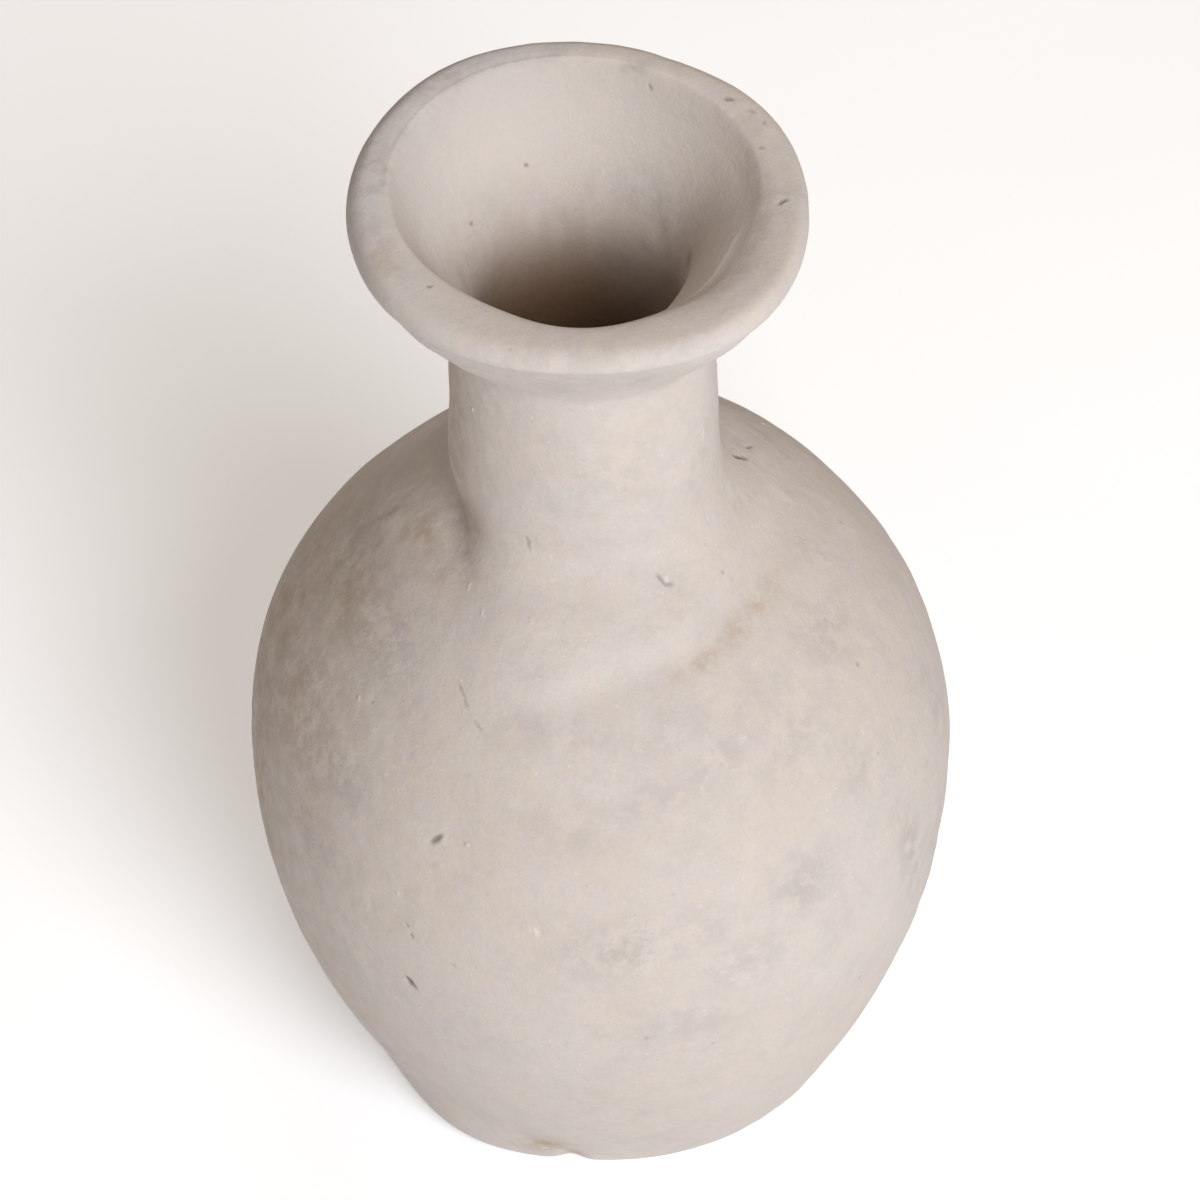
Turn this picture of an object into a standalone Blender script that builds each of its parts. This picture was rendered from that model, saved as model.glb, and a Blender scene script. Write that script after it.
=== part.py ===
"""A hand-built earthenware bottle vase, modelled as the clay sections that are made
one by one and luted together: base disc, lower wall, shoulder wall, neck tube,
neck collar, mouth funnel, lip coil, and the two coils pressed over the seams inside.

Metres, +Z up.  The origin is on the ground, under the middle of the body.
-Y is the front.
"""

import math

import bmesh
import bpy
import numpy as np

MM = 0.001

# ---- driving dimensions ------------------------------------------------------

BELLY_R = 60.0 * MM          # widest radius of the body
BELLY_Z = 66.0 * MM          # height of the widest ring
FOOT_R = 42.0 * MM           # radius the body curve runs down to at the ground
FOOT_ROUND = 3.4 * MM        # worn, rounded edge of the foot
LOWER_POWER = 1.83           # fullness of the curve below the belly
ROOT_Z = 128.5 * MM          # where the body curve reaches the neck
ROOT_R = 23.6 * MM
UPPER_POWER = 2.33           # fullness of the shoulder

NECK_FOOT_R = 22.3 * MM      # neck, just above the shoulder
NECK_TOP_R = 21.2 * MM       # neck, under the flare
NECK_FOOT_Z = 132.0 * MM
FLARE_Z = 169.2 * MM         # crease where the flare leaves the neck
FLARE_SLOPE = 0.76           # outward run of the flare for each unit of rise
BORE_R = 16.0 * MM           # throat
ROOT_BLEND = 2.4 * MM        # softness of the corner at the neck root
CREASE_BLEND = 0.8 * MM      # softness of the corner under the flare

LIP_R = 35.8 * MM            # outermost radius of the lip
LIP_HALF_W = 3.5 * MM        # oval section of the lip coil
LIP_HALF_H = 4.5 * MM
LIP_Z = 189.5 * MM           # middle height of the lip coil
FUNNEL_Z = 165.0 * MM        # where the funnel starts to open inside
FUNNEL_POWER = 1.35

WALL = 6.2 * MM              # thickness of the body wall
FLOOR = 8.0 * MM             # thickness of the base disc
GAP = 0.21 * MM              # half of the upright gap left in each luted joint
CLEAR = 0.34 * MM            # gap between a pressed coil and what it is pressed on

# Each joint is a scarf: (height on the outside, height on the inside).
BASE_SEAM = (5.5 * MM, 8.2 * MM)
BELLY_SEAM = (71.0 * MM, 75.5 * MM)
NECK_SEAM = (128.6 * MM, 131.5 * MM)
FLARE_SEAM = (168.6 * MM, 172.6 * MM)
LIP_SEAM = (186.4 * MM, 188.0 * MM)

COLLAR_Z = (117.6 * MM, 138.0 * MM)   # extent of the coil around the neck root
COLLAR_EDGE = 0.9 * MM                # its thickness at both edges
COLLAR_SWELL = 1.7 * MM               # extra thickness in the middle
COLLAR_RIDGE = 0.7 * MM               # raised roll along its lower edge

LEAN = -0.0198               # the whole vase leans to the left, for each unit of height
NECK_LEAN_X = -1.1 * MM      # and the neck was set a little further that way
MOUTH_TILT = 0.046           # the mouth dips towards the front
LIP_DIP = 2.2 * MM           # the lip is lower at the front and right
OVAL = 0.0106                # the turned sections are slightly oval

STEPS = 40                   # facets round each ring

CLAY = (0.60, 0.54, 0.47)
CLAY_INSIDE = (0.50, 0.43, 0.36)


# ---- the turned outline ------------------------------------------------------

def smooth_step(a, b, x):
    t = np.clip((np.asarray(x, float) - a) / (b - a), 0.0, 1.0)
    return t * t * (3.0 - 2.0 * t)


def soft_max(a, b, k):
    """The larger of a and b, with the corner between them rounded by about k."""
    return k * np.logaddexp(np.asarray(a) / k, np.asarray(b) / k)


def body_r(z):
    z = np.asarray(z, float)
    low = BELLY_R - (BELLY_R - FOOT_R) * np.clip((BELLY_Z - z) / BELLY_Z, 0, None) ** LOWER_POWER
    rise = np.clip((z - BELLY_Z) / (ROOT_Z - BELLY_Z), 0, None)
    high = BELLY_R - (BELLY_R - ROOT_R) * rise ** UPPER_POWER
    return np.where(z < BELLY_Z, low, high)


def neck_r(z):
    t = (np.asarray(z, float) - NECK_FOOT_Z) / (FLARE_Z - NECK_FOOT_Z)
    return NECK_FOOT_R + (NECK_TOP_R - NECK_FOOT_R) * t


def outer_r(z):
    """Radius of the outside, from above the foot's edge to the lip's lower edge."""
    z = np.asarray(z, float)
    ridge = COLLAR_RIDGE * np.exp(-(((z - COLLAR_Z[0] - 2.4 * MM) / (2.6 * MM)) ** 2))
    r = soft_max(body_r(z), neck_r(z), ROOT_BLEND) + ridge
    r = np.where(z < 95 * MM, body_r(z), r)
    run = CREASE_BLEND * np.logaddexp(0.0, (z - FLARE_Z) * FLARE_SLOPE / CREASE_BLEND)
    return r + run


def outer_normal(z):
    """Outward unit normal (radial, upright) of the outside at height z."""
    h = 0.05 * MM
    slope = (outer_r(z + h) - outer_r(z - h)) / (2 * h)
    n = np.array([1.0, -float(slope)])
    return n / np.hypot(*n)


# The inside of the body is the outside moved in by the wall's thickness.
_z = np.linspace(0.0, ROOT_Z + 14 * MM, 600)
_r = body_r(_z)
_slope = np.gradient(_r, _z)
_len = np.hypot(1.0, _slope)
_inner_z = _z + WALL * _slope / _len
_inner_r = _r - WALL / _len
_order = np.argsort(_inner_z)
_inner_z, _inner_r = _inner_z[_order], _inner_r[_order]


def inner_r(z):
    """Radius of the inside: body, throat and funnel."""
    z = np.asarray(z, float)
    body = np.interp(z, _inner_z, _inner_r)
    r = soft_max(body, BORE_R, 2.0 * MM)
    r = np.where(z < 90 * MM, body, r)
    mouth = LIP_R - 2 * LIP_HALF_W + 0.2 * MM
    t = np.clip((z - FUNNEL_Z) / (LIP_Z + 2.5 * MM - FUNNEL_Z), 0, None)
    return r + (mouth - BORE_R) * t ** FUNNEL_POWER


def collar_depth(z):
    """How deep the collar coil is let into the shoulder and neck at height z."""
    t = (z - COLLAR_Z[0]) / (COLLAR_Z[1] - COLLAR_Z[0])
    return COLLAR_EDGE + COLLAR_SWELL * math.sin(math.pi * min(max(t, 0.0), 1.0))


def outer_points(z0, z1, count):
    return [(float(outer_r(z)), float(z)) for z in np.linspace(z0, z1, count)]


def inner_points(z0, z1, count):
    return [(float(inner_r(z)), float(z)) for z in np.linspace(z0, z1, count)]


def under_collar(z0, z1, count, extra):
    """The outside moved in by the collar's depth and a further extra."""
    points = []
    for z in np.linspace(z0, z1, count):
        n = outer_normal(z)
        d = collar_depth(z) + extra
        points.append((float(outer_r(z)) - d * n[0], z - d * n[1]))
    return points


# ---- hand-made departures from a true turning --------------------------------

def shaped(co):
    """Moves a turned point to where the uneven, hand-built wall has it."""
    x, y, z = co
    a = math.atan2(y, x)
    k = 1.0 + OVAL * math.cos(2 * (a + math.pi / 4))
    # the mouth is flattened at the front, and wider at both front corners
    plan = MM * (-0.46 + 0.64 * math.cos(2 * a) - 0.36 * math.sin(3 * a) - 0.40 * math.cos(4 * a))
    spread = plan * float(smooth_step(170 * MM, 187 * MM, z))
    front = float(smooth_step(-0.38, 0.38, math.cos(a + math.radians(60))))
    dip = LIP_DIP * front * float(smooth_step(188.4 * MM, 194 * MM, z))
    lift = MOUTH_TILT * y * float(smooth_step(150 * MM, 176 * MM, z)) - dip
    lean = LEAN * (z - BELLY_Z) + NECK_LEAN_X * float(smooth_step(100 * MM, 135 * MM, z))
    return (x * k + spread * math.cos(a) + lean, y * k + spread * math.sin(a), z + lift)


# ---- building ----------------------------------------------------------------

def clay(name, colour, roughness):
    mat = bpy.data.materials.new(name)
    mat.use_nodes = True
    shader = mat.node_tree.nodes["Principled BSDF"]
    shader.inputs["Base Color"].default_value = (*colour, 1.0)
    shader.inputs["Roughness"].default_value = roughness
    shader.inputs["Metallic"].default_value = 0.0
    mat.diffuse_color = (*colour, 1.0)
    return mat


def turned(name, outline, material, parent):
    """Spins a closed outline of (radius, height) points about Z into one solid.
    An outline whose first and last points are on the axis makes a full disc."""
    bm = bmesh.new()
    on_axis = outline[0][0] == 0.0
    verts = [bm.verts.new((r, 0.0, z)) for r, z in outline]
    pairs = list(zip(verts, verts[1:]))
    if not on_axis:
        pairs.append((verts[-1], verts[0]))
    edges = [bm.edges.new(p) for p in pairs]
    bmesh.ops.spin(
        bm, geom=verts + edges, cent=(0, 0, 0), axis=(0, 0, 1),
        angle=2 * math.pi, steps=STEPS, use_merge=True, use_duplicate=False,
    )
    bmesh.ops.remove_doubles(bm, verts=bm.verts, dist=0.01 * MM)
    for v in bm.verts:
        v.co = shaped(v.co)
    bmesh.ops.recalc_face_normals(bm, faces=bm.faces)
    mesh = bpy.data.meshes.new(name)
    bm.to_mesh(mesh)
    bm.free()
    mesh.shade_smooth()
    mesh.set_sharp_from_angle(angle=math.radians(35))
    mesh.materials.append(material)
    obj = bpy.data.objects.new(name, mesh)
    bpy.context.scene.collection.objects.link(obj)
    obj.parent = parent
    return obj


def main():
    for old in list(bpy.data.objects):
        bpy.data.objects.remove(old, do_unlink=True)

    vase = bpy.data.objects.new("vase", None)
    bpy.context.scene.collection.objects.link(vase)

    # Base disc: the flat slab that everything stands on, with a worn round edge and a
    # bevelled shoulder that centres the wall.
    top = BASE_SEAM[0] - GAP
    edge = []
    for i in range(5):
        a = math.radians(90 * i / 4)
        r_edge = float(outer_r(FOOT_ROUND))
        edge.append((r_edge - FOOT_ROUND * (1 - math.sin(a)), FOOT_ROUND * (1 - math.cos(a))))
    disc = [(0.0, 0.0)] + edge + [(float(outer_r(top)), top)]
    disc += [(float(inner_r(FLOOR)) , FLOOR), (0.0, FLOOR)]
    turned("base_disc", disc, clay("base_clay", CLAY, 0.92), vase)

    # Lower wall, from the base disc to the belly seam.
    lower = outer_points(BASE_SEAM[0] + GAP, BELLY_SEAM[0] - GAP, 9)
    lower += inner_points(BELLY_SEAM[1] - GAP, BASE_SEAM[1] + GAP, 8)
    turned("lower_wall", lower, clay("lower_wall_clay", CLAY, 0.92), vase)

    # Coil pressed into the corner between the floor and the wall.
    z0, z1 = FLOOR + CLEAR, FLOOR + 7.0 * MM
    heel = [
        (float(inner_r(z0)) - CLEAR - 6.5 * MM, z0),
        (float(inner_r(z0 + GAP)) - CLEAR - 0.3 * MM, z0),
        (float(inner_r(z1)) - CLEAR, z1),
        (float(inner_r(z1)) - CLEAR - 1.0 * MM, z1 + 0.2 * MM),
        (float(inner_r(z1)) - CLEAR - 3.0 * MM, z1 - 2.4 * MM),
        (float(inner_r(z0)) - CLEAR - 5.0 * MM, z0 + 1.6 * MM),
    ]
    turned("base_seam_coil", heel, clay("base_coil_clay", CLAY_INSIDE, 0.95), vase)

    # Shoulder wall, from the belly seam to the opening for the neck.
    shoulder = outer_points(BELLY_SEAM[0] + GAP, COLLAR_Z[0] - 2 * GAP, 9)
    shoulder += under_collar(COLLAR_Z[0] - GAP, NECK_SEAM[0] - GAP, 4, CLEAR)
    shoulder += inner_points(NECK_SEAM[1] - 4.6 * MM - GAP, BELLY_SEAM[1] + GAP, 9)
    turned("shoulder_wall", shoulder, clay("shoulder_clay", CLAY, 0.92), vase)

    # Coil pressed over the belly seam inside.
    mid, half = BELLY_SEAM[1] - 0.5 * MM, 7.0 * MM
    band = [(float(inner_r(z)) - CLEAR, float(z)) for z in np.linspace(mid - half, mid + half, 5)]
    for i in range(1, 6):
        a = math.pi * i / 6
        z = mid + half * math.cos(a)
        band.append((float(inner_r(z)) - CLEAR - 3.2 * MM * math.sin(a), z))
    turned("belly_seam_coil", band, clay("belly_coil_clay", CLAY_INSIDE, 0.95), vase)

    # Neck tube, standing on the rim of the shoulder's opening.
    neck = under_collar(NECK_SEAM[0] + GAP, COLLAR_Z[1] + GAP, 4, CLEAR)
    neck += outer_points(COLLAR_Z[1] + 2 * GAP, FLARE_SEAM[0] - GAP, 4)
    neck += inner_points(FLARE_SEAM[1] - GAP, NECK_SEAM[1] - 4.6 * MM + GAP, 7)
    turned("neck_tube", neck, clay("neck_clay", CLAY, 0.92), vase)

    # Collar: the coil worked into the corner between shoulder and neck.
    collar = outer_points(COLLAR_Z[0] + GAP, COLLAR_Z[1] - GAP, 9)
    collar += under_collar(COLLAR_Z[1] - GAP, COLLAR_Z[0] + GAP, 7, 0.0)
    turned("neck_collar", collar, clay("collar_clay", CLAY, 0.92), vase)

    # Mouth funnel, from the crease under the flare to the lip.
    funnel = outer_points(FLARE_SEAM[0] + GAP, LIP_SEAM[0] - GAP, 6)
    funnel += inner_points(LIP_SEAM[1] - GAP, FLARE_SEAM[1] + GAP, 6)
    turned("mouth_funnel", funnel, clay("funnel_clay", CLAY, 0.92), vase)

    # Lip coil: an oval roll of clay on top of the funnel.
    lo, hi = LIP_SEAM[0] + GAP, LIP_SEAM[1] + GAP
    centre = LIP_R - LIP_HALF_W
    lip = [(float(outer_r(lo)), lo)]
    for i in range(9):
        a = math.radians(-14 + 164 * i / 8)
        lip.append((centre + LIP_HALF_W * math.cos(a), LIP_Z + LIP_HALF_H * math.sin(a)))
    lip.append((float(inner_r(hi)), hi))
    turned("lip_coil", lip, clay("lip_clay", CLAY, 0.92), vase)


main()
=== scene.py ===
"""Looks of the hand-built earthenware bottle vase: every clay section as a fine mesh on one
continuous hand-worked surface, with its pits, collar, lip and foot, and a matte clay finish.
"""

import math

import bmesh
import bpy
import numpy as np
from mathutils import Matrix, Vector


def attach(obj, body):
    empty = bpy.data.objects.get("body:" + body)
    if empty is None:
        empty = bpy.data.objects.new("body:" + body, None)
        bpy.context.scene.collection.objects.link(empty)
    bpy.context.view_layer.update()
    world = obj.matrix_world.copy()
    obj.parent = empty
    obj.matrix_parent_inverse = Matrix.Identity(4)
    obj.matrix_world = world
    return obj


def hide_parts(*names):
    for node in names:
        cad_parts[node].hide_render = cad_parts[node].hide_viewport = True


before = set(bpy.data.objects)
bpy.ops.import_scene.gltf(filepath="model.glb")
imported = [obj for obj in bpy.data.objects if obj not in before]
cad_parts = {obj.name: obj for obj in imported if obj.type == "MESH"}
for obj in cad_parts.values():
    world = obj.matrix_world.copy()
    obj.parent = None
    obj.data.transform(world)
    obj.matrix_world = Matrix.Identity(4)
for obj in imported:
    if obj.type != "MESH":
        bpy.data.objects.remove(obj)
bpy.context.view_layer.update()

MM = 0.001

# ---- dimensions in millimetres, as in the CAD model ---------------------------

BELLY_R, BELLY_Z = 60.0, 66.0
FOOT_R, FOOT_ROUND, LOWER_POWER = 42.0, 3.4, 1.83
ROOT_Z, ROOT_R, UPPER_POWER = 128.5, 23.6, 2.33
NECK_FOOT_R, NECK_TOP_R, NECK_FOOT_Z = 22.3, 21.2, 132.0
FLARE_Z, FLARE_SLOPE, CREASE_BLEND = 169.2, 0.76, 1.2
BORE_R, ROOT_BLEND = 16.0, 2.4
WALL, FLOOR = 6.2, 8.0

BASE_SEAM = (5.5, 8.2)
BELLY_SEAM = (71.0, 75.5)
NECK_SEAM = (128.6, 126.9)
FLARE_SEAM = (168.6, 172.6)
LIP_SEAM = (186.4, 188.0)
COLLAR_Z = (117.6, 138.0)
COLLAR_EDGE, COLLAR_SWELL, COLLAR_RIDGE = 0.9, 1.7, 1.15
CLEAR = 0.3

LEAN, NECK_LEAN_X, MOUTH_TILT, OVAL = -0.0198, -1.1, 0.046, 0.0106

ROUND = 512          # points round each ring
FINE = 0.62          # spacing up the visible walls


# ---- noise --------------------------------------------------------------------

def _hash(ix, iy, iz, seed):
    h = (ix * 374761393 + iy * 668265263 + iz * 1274126177 + seed * 1442695041) & 0xFFFFFFFF
    h = ((h ^ (h >> 13)) * 1103515245) & 0xFFFFFFFF
    h = ((h ^ (h >> 15)) * 668265263) & 0xFFFFFFFF
    h = h ^ (h >> 16)
    return (h & 0xFFFFFF) / float(0xFFFFFF) * 2.0 - 1.0


def noise(p, scale, seed):
    """Smooth noise from -1 to 1 with features about scale across."""
    q = p / np.asarray(scale, float)
    i = np.floor(q).astype(np.int64)
    f = q - i
    w = f * f * f * (f * (f * 6 - 15) + 10)
    total = np.zeros(len(p))
    for dx in (0, 1):
        wx = w[:, 0] if dx else 1 - w[:, 0]
        for dy in (0, 1):
            wy = w[:, 1] if dy else 1 - w[:, 1]
            for dz in (0, 1):
                wz = w[:, 2] if dz else 1 - w[:, 2]
                total += wx * wy * wz * _hash(i[:, 0] + dx, i[:, 1] + dy, i[:, 2] + dz, seed)
    return total


def smooth_step(a, b, x):
    t = np.clip((np.asarray(x, float) - a) / (b - a), 0.0, 1.0)
    return t * t * (3.0 - 2.0 * t)


def round_bump(th, centre_deg, width_deg):
    """1 at an angle round the vase, falling off over width either side."""
    d = (th - math.radians(centre_deg) + math.pi) % (2 * math.pi) - math.pi
    return np.exp(-((d / math.radians(width_deg)) ** 2))


# ---- the turned outline, with its changes round the vase -----------------------

def body_r(z):
    low = BELLY_R - (BELLY_R - FOOT_R) * np.clip((BELLY_Z - z) / BELLY_Z, 0, None) ** LOWER_POWER
    rise = np.clip((z - BELLY_Z) / (ROOT_Z - BELLY_Z), 0, None)
    return np.where(z < BELLY_Z, low, BELLY_R - (BELLY_R - ROOT_R) * rise ** UPPER_POWER)


def neck_r(z):
    return NECK_FOOT_R + (NECK_TOP_R - NECK_FOOT_R) * (z - NECK_FOOT_Z) / (FLARE_Z - NECK_FOOT_Z)


def mouth_plan(th):
    """How far the mouth's outline stands off a circle."""
    return (-0.46 + 0.64 * np.cos(2 * th) - 0.36 * np.sin(3 * th) - 0.40 * np.cos(4 * th)
            + 0.9 * round_bump(th, 20, 22) - 0.95 * round_bump(th, 60, 18) - 0.5 * round_bump(th, 150, 20))


def outer_r(z, th):
    z = np.asarray(z, float)
    side = 0.55 + 1.15 * round_bump(th, -50, 48) + 0.2 * round_bump(th, 80, 60)
    # the groove below the coil climbs to the right
    step_z = COLLAR_Z[0] - 2.6 * round_bump(th, -112, 22) + 6.8 * round_bump(th, -20, 50) + 1.4 * round_bump(th, -84, 14)
    high = z - step_z - 4.0
    ridge = side * COLLAR_RIDGE * np.exp(-((high / np.where(high < 0, 3.4, 5.2)) ** 2))
    ridge = ridge - (side - 0.3) * 0.85 * np.exp(-(((z - step_z + 1.8) / 2.9) ** 2))
    # pressed out with the thumb at the front left, pressed in beside it, and a faint crease above
    ridge = ridge + 1.5 * round_bump(th, -113, 20) * np.exp(-(((z - 124.5) / 5.5) ** 2))
    ridge = ridge - 1.8 * round_bump(th, -160, 22) * np.exp(-(((z - 128.5) / 7.0) ** 2))
    # the corner left of the neck is cut deeper, along a line that falls towards the front
    along = np.degrees((th - math.radians(-156) + math.pi) % (2 * math.pi) - math.pi)
    ridge = ridge - 1.2 * np.exp(-((along / 22.0) ** 2)) * np.exp(-(((z - 127.5 + 0.09 * along) / 2.0) ** 2))
    ridge = ridge - 0.40 * round_bump(th, -84, 32) * np.exp(-(((z - 134.5) / 2.2) ** 2))
    k = ROOT_BLEND - 1.2 * round_bump(th, 180, 50)
    r = k * np.logaddexp(body_r(z) / k, neck_r(z) / k) + ridge
    t = smooth_step(90, 100, z)
    r = body_r(z) * (1 - t) + r * t
    # foot: the worn round edge
    edge = np.clip((FOOT_ROUND - z) / FOOT_ROUND, 0, 1)
    r = r - FOOT_ROUND * (1 - np.sqrt(np.clip(1 - edge ** 2, 0, 1)))
    # foot: a lump pressed out at the front left, and the notch beside it
    r = r + 2.4 * round_bump(th, -124, 20) * smooth_step(15, 4, z) - 1.3 * round_bump(th, -98.5, 3.2) * smooth_step(11, 2, z)
    # the wall draws in just above the foot
    r = r - 0.55 * np.exp(-(((z - 13.0) / 9.0) ** 2))
    # flare, fuller at both front corners
    r = r + CREASE_BLEND * np.logaddexp(0.0, (z - FLARE_Z) * FLARE_SLOPE / CREASE_BLEND)
    full = 1.25 * round_bump(th, -141, 22) + 1.15 * round_bump(th, -41, 22)
    r = r + 1.5 * full * smooth_step(166, 174, z) * smooth_step(190, 180, z)
    return r + mouth_plan(th) * smooth_step(170, 187, z)


_z = np.linspace(0.0, ROOT_Z + 14, 600)
_r = body_r(_z)
_slope = np.gradient(_r, _z)
_len = np.hypot(1.0, _slope)
_iz, _ir = _z + WALL * _slope / _len, _r - WALL / _len
_order = np.argsort(_iz)
_iz, _ir = _iz[_order], _ir[_order]


def inner_r(z, th):
    z = np.asarray(z, float)
    body = np.interp(z, _iz, _ir)
    r = 2.0 * np.logaddexp(body / 2.0, BORE_R / 2.0)
    t = smooth_step(80, 92, z)
    r = body * (1 - t) + r * t
    # funnel, opening to the lip's inner edge
    t = (z - 166.5) / (LIP_SEAM[1] - 166.5)
    opening = np.logaddexp(0, (t - 0.12) / 0.1) / np.logaddexp(0, 0.88 / 0.1)
    opening = opening ** (1.0 + 2.2 * right_roll(th))
    return r + (edge_r(th) - 0.52 * (lip_top(th) - lip_drop(th) - LIP_SEAM[1]) - 1.3 * right_roll(th) - BORE_R) * opening


def edge_r(th):
    """Radius of the lip's inner edge: the lip is broad at the front and broadest at the right."""
    return (29.0 - 3.8 * round_bump(th, -122, 34) - 3.0 * round_bump(th, -63, 26)
            - 3.6 * round_bump(th, -20, 30))


def lip_top(th):
    return 194.0 - 2.3 * front_side(th)


def lip_drop(th):
    return 0.7 + 0.35 * front_side(th) + 2.3 * round_bump(th, -22, 36)


def right_roll(th):
    return round_bump(th, -20, 38)


def front_side(th):
    return smooth_step(-0.7, 0.7, np.cos(th + math.radians(60)))


def lip_controls(th):
    """Control points (n, k, 2) of the lip's section: up the outside, over the crest, down the inside."""
    front = front_side(th)
    plan = mouth_plan(th)
    top, drop = lip_top(th), lip_drop(th)
    edge = edge_r(th) + 0.3 * plan
    lo, hi = LIP_SEAM
    one = np.ones(len(th))
    rows = [np.stack([outer_r(one * q, th), one * q], 1) for q in (lo - 2.4, lo)]
    rows += [np.stack([r + plan, z], 1) for r, z in (
        (35.45, top - 6.1 + 1.9 * front), (35.75, top - 4.1 + 1.6 * front), (35.1, top - 1.6 + 0.6 * front), (33.6, top - 0.25))]
    out = 33.6 + plan
    soft, roll = 0.35 * front, right_roll(th)
    for a, b, c in ((0.45, 0.05, 0.16), (0.78, 0.32, 0.49), (0.96, 0.88, 0.77)):
        fall = (b + 0.3 * soft) * (1 - roll) + c * roll
        rows.append(np.stack([out + (edge - out) * (a - 0.16 * soft * (1 - roll)), top - drop * fall], 1))
    # from the edge the lip runs on into the funnel's wall
    wall = inner_r(one * hi, th)
    rows.append(np.stack([(rows[-1][:, 0] + wall) / 2, (rows[-1][:, 1] + hi) / 2], 1))
    rows += [np.stack([inner_r(one * q, th), one * q], 1) for q in (hi, hi - 2.4)]
    return np.stack(rows, 1)


def lip_u(deg, radius):
    """Where on the lip's top a radius lies."""
    u = np.linspace(0.35, 1.0, 400)
    p = lip_point(u, np.full(len(u), math.radians(deg)))
    return float(u[np.argmin(np.abs(p[:, 0] - radius))])


def lip_point(u, th):
    c = lip_controls(th)
    spans = c.shape[1] - 3
    x = np.clip(u, 0, 1) * spans
    k = np.minimum(x.astype(int), spans - 1)
    t = (x - k)[:, None]
    i = np.arange(len(u))
    a, b, d, e = (c[i, k + j] for j in range(4))
    return 0.5 * (2 * b + (d - a) * t + (2 * a - 5 * b + 4 * d - e) * t ** 2 + (3 * b - a - 3 * d + e) * t ** 3)


OUT, IN, LIP, HIDDEN, UNDER, PRESSED = range(6)


def surface(kind, q, th):
    """(radius, height) and its outward normal, for points of one kind."""
    h = 0.05
    if kind == LIP:
        p = lip_point(q, th)
        d = lip_point(q + 0.004, th) - lip_point(q - 0.004, th)
        nr, nz = d[:, 1], -d[:, 0]
        # at both ends the lip meets its neighbours, whose normals it takes
        for end, end_kind, end_z in ((0.0, OUT, LIP_SEAM[0]), (1.0, IN, LIP_SEAM[1])):
            at = np.abs(q - end) < 1e-6
            if at.any():
                _, _, er, ez = surface(end_kind, np.full(at.sum(), end_z), th[at])
                nr[at], nz[at] = er, ez
        r, z = p[:, 0], p[:, 1]
    elif kind == OUT:
        r, z = outer_r(q, th), q
        nr, nz = np.ones(len(q)), -(outer_r(q + h, th) - outer_r(q - h, th)) / (2 * h)
    else:
        r, z = inner_r(q, th), q
        nr, nz = -np.ones(len(q)), (inner_r(q + h, th) - inner_r(q - h, th)) / (2 * h)
    size = np.hypot(nr, nz)
    return r, z, nr / size, nz / size


# ---- marks on the clay, and painted shade and light -----------------------------

# Slits and pits left by burnt-out bits in the clay, and crumbs stuck to it (negative depth):
# surface, (angle, height) of both ends, width and depth in mm.
PITS = [
    (OUT, (-119.7, 93.5), (-118.1, 95.3), 0.46, 0.75),
    (OUT, (-122.8, 63.0), (-121.1, 61.0), 0.56, 0.95),
    (OUT, (-122.2, 76.4), (-122.0, 76.1), 0.26, 0.35),
    (OUT, (-121.4, 74.6), (-121.1, 74.1), 0.28, 0.45),
    (OUT, (12.6, 129.3), (14.7, 127.2), 0.48, 1.0),
    (OUT, (21.6, 126.0), (23.2, 125.0), 0.34, 0.5),
    (OUT, (-115.2, 136.4), (-114.0, 133.9), 0.42, 0.28),
    (OUT, (-62.2, 129.9), (-60.9, 128.7), 0.30, 0.45),
    (OUT, (-60.9, 128.7), (-58.4, 128.5), 0.30, 0.35),
    (OUT, (-123.9, 115.3), (-121.6, 114.3), 0.34, 0.26),
    (OUT, (-121.2, 113.9), (-119.8, 113.2), 0.26, 0.22),
    (OUT, (-117.0, 111.9), (-115.2, 111.2), 0.30, 0.20),
    (OUT, (178.8, 123.8), (177.5, 120.4), 0.85, 0.10),
    (OUT, (177.5, 120.4), (174.8, 115.0), 0.75, 0.08),
    (OUT, (-100.2, 83.4), (-99.9, 82.4), 0.46, -0.55),
    (OUT, (-134.6, 125.6), (-133.7, 125.0), 0.42, -0.28),
    (OUT, (-125.2, 124.6), (-124.4, 124.1), 0.42, -0.28),
    (OUT, (-108.4, 125.8), (-107.7, 125.4), 0.38, -0.22),
    (IN, (112.9, 179.2), (112.0, 179.0), 0.28, 0.5),
    (IN, (148.2, 175.9), (147.2, 175.5), 0.30, 0.5),
    (LIP, (-139.4, 29.9), (-138.8, 29.4), 0.30, 0.5),
    (LIP, (65.9, 27.7), (65.0, 27.5), 0.28, 0.4),
    (LIP, (40.9, 31.0), (39.0, 31.6), 0.40, 0.55),
    (LIP, (-2.0, 31.0), (-0.4, 32.3), 0.45, 0.6),
    (LIP, (20.5, 30.4), (19.5, 30.9), 0.30, 0.3),
    (LIP, (33.4, 32.4), (32.0, 33.0), 0.36, 0.24),
    (LIP, (28.2, 33.4), (27.0, 33.0), 0.32, 0.20),
]
# Smaller crumbs and pinholes, scattered all over the outside.
_scatter = np.random.default_rng(20)
for _ in range(44):
    _deg, _high = _scatter.uniform(-180, 180), _scatter.uniform(14, 160)
    _turn, _rise = _scatter.uniform(-0.5, 0.5), _scatter.uniform(-0.4, 0.4)
    _wide, _deep = _scatter.uniform(0.26, 0.44), _scatter.choice([-0.45, -0.35, -0.3, 0.22])
    PITS.append((OUT, (_deg, _high), (_deg + _turn + 0.1, _high + _rise), _wide, _deep))
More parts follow.
